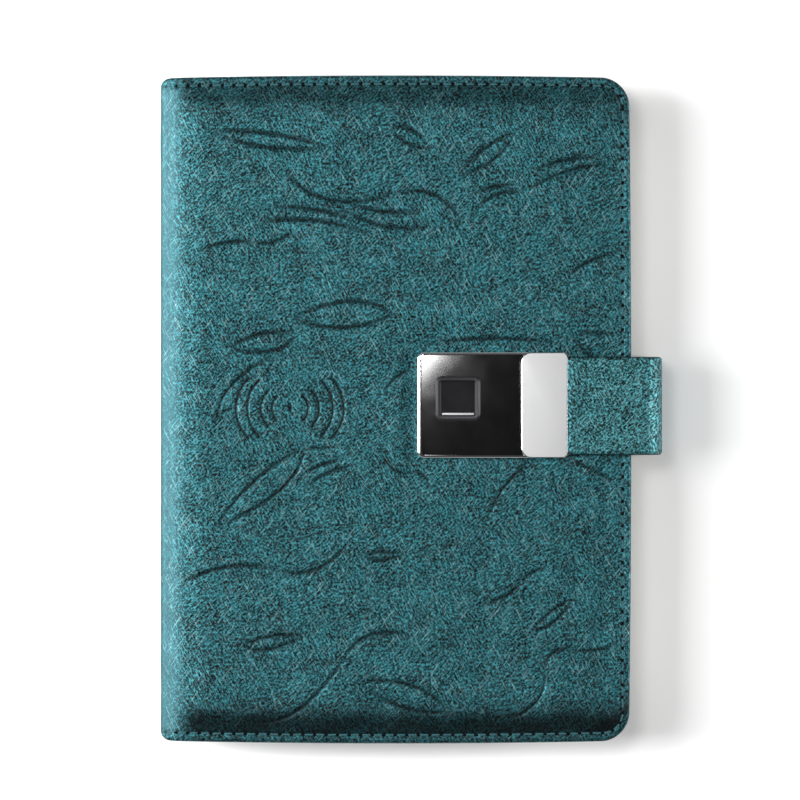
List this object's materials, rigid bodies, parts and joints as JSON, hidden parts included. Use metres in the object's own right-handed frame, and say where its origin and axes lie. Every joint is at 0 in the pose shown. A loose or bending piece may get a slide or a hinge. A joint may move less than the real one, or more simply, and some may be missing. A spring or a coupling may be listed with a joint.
{
  "type": "electronic diary",
  "caption": "Padded organiser that folds shut over ring-bound pages, held by a strap clipped into a fingerprint lock, with a power bank and charging coil in its cover.",
  "frame": {"origin": "centre of the outline, strap included, on the table under the back cover", "axes": "+X from the spine to the fore edge, +Y up the cover, +Z out of the front cover"},
  "size_m": [0.176, 0.232, 0.0424],
  "materials": {
    "teal_leather": "brushed, padded",
    "teal_edge": "satin",
    "cover_board": "raw",
    "padding_foam": "open cell",
    "lining": "fine weave",
    "paper": "uncoated",
    "divider_plastic": "frosted",
    "ring_steel": "polished",
    "chrome": "polished",
    "satin_metal": "satin silver",
    "steel": "plain",
    "gloss_black": "piano black",
    "sensor_grey": "bevelled, satin",
    "sensor_black": "dark coated",
    "black_plastic": "fine texture",
    "circuit_green": "solder mask",
    "copper": "enamelled",
    "ferrite": "matt",
    "cell_foil": "pouch foil",
    "light": "diffuse"
  },
  "bodies": {
    "back_cover": {"back_cover_leather": "teal_leather", "back_cover_board": "cover_board", "back_cover_lining": "lining", "lower_fold_leather": "teal_leather", "document_pocket": "lining", "ring_rail": "ring_steel", "rail_rivets": "ring_steel", "lever_pins": "steel", "page_block": "paper", "divider_ruler": "divider_plastic", "strap_tab": "teal_leather"},
    "spine": {"spine_leather": "teal_leather", "spine_board": "cover_board", "spine_lining": "lining", "upper_fold_leather": "teal_leather"},
    "front_cover": {"front_cover_leather": "teal_leather", "front_cover_foam": "padding_foam", "front_cover_board": "cover_board", "front_cover_lining": "lining", "charging_coil": "copper", "coil_ferrite": "ferrite", "card_pockets": "lining", "memo_pockets": "lining", "bank_case": "black_plastic", "bank_cover": "black_plastic", "bank_cells": "cell_foil", "bank_circuit_board": "circuit_green", "bank_switch": "black_plastic", "bank_lights": "light", "bank_usb_sockets": "steel", "bank_screws": "steel", "lock_base": "black_plastic", "lock_bezel": "chrome", "lock_face": "gloss_black", "sensor_ring": "sensor_grey", "sensor_window": "sensor_black", "lock_circuit_board": "circuit_green", "lock_battery": "cell_foil", "lock_usb_socket": "steel", "lock_motor": "steel", "lock_backplate": "steel", "lock_screws": "steel"},
    "strap_side": {"strap_side": "teal_leather"},
    "strap_flap": {"strap_flap": "teal_leather", "clip_plate": "satin_metal", "clip_striker_plate": "steel", "clip_rivets": "steel"},
    "latch_bolt": {"latch_bolt": "steel"},
    "motor_screw": {"motor_screw": "steel"},
    "ring_left": {"ring_left_half": "ring_steel"},
    "ring_right": {"ring_right_half": "ring_steel"},
    "lever_top": {"ring_lever_top": "ring_steel"},
    "lever_bottom": {"ring_lever_bottom": "ring_steel"},
    "bank_button": {"bank_button": "black_plastic"}
  },
  "joints": [
    {"name": "spine_hinge", "type": "hinge", "parent": "back_cover", "child": "spine", "pos_m": [-0.086, 0, 0.002], "axis": [0, -1, 0], "range_deg": [0, 90]},
    {"name": "cover_hinge", "type": "hinge", "parent": "spine", "child": "front_cover", "pos_m": [-0.0847, 0, 0.0323], "axis": [0, -1, 0], "range_deg": [0, 85]},
    {"name": "strap_swing", "type": "hinge", "parent": "front_cover", "child": "strap_side", "pos_m": [0.0865, 0.00125, 0.0015], "axis": [0, -1, 0], "range_deg": [-90, 0]},
    {"name": "strap_unbend", "type": "hinge", "parent": "strap_side", "child": "strap_flap", "pos_m": [0.0865, 0.00125, 0.0374], "axis": [0, -1, 0], "range_deg": [-90, 0]},
    {"name": "latch_slide", "type": "slide", "parent": "front_cover", "child": "latch_bolt", "axis": [1, 0, 0], "range_m": [0, 0.0022]},
    {"name": "motor_turn", "type": "hinge", "parent": "front_cover", "child": "motor_screw", "pos_m": [0.0265, 0.0015, 0.0348], "axis": [1, 0, 0], "range_deg": [0, 360]},
    {"name": "ring_left_open", "type": "hinge", "parent": "back_cover", "child": "ring_left", "pos_m": [-0.07965, 0, 0.0062], "axis": [0, -1, 0], "range_deg": [0, 10]},
    {"name": "ring_right_open", "type": "hinge", "parent": "back_cover", "child": "ring_right", "pos_m": [-0.06895, 0, 0.0062], "axis": [0, 1, 0], "range_deg": [0, 10]},
    {"name": "lever_top_press", "type": "hinge", "parent": "back_cover", "child": "lever_top", "pos_m": [-0.0743, 0.098, 0.0062], "axis": [-1, 0, 0], "range_deg": [0, 8]},
    {"name": "lever_bottom_press", "type": "hinge", "parent": "back_cover", "child": "lever_bottom", "pos_m": [-0.0743, -0.098, 0.0062], "axis": [1, 0, 0], "range_deg": [0, 8]},
    {"name": "bank_button_press", "type": "slide", "parent": "front_cover", "child": "bank_button", "axis": [0, 0, 1], "range_m": [0, 0.0005], "stiffness_N_per_m": 200}
  ],
  "couplings": [
    {"joint": "motor_turn", "follows": "latch_slide", "rad_per_m": 2855.7},
    {"joint": "ring_right_open", "follows": "ring_left_open", "ratio": 1},
    {"joint": "lever_top_press", "follows": "ring_left_open", "ratio": 0.8},
    {"joint": "lever_bottom_press", "follows": "ring_left_open", "ratio": 0.8}
  ]
}
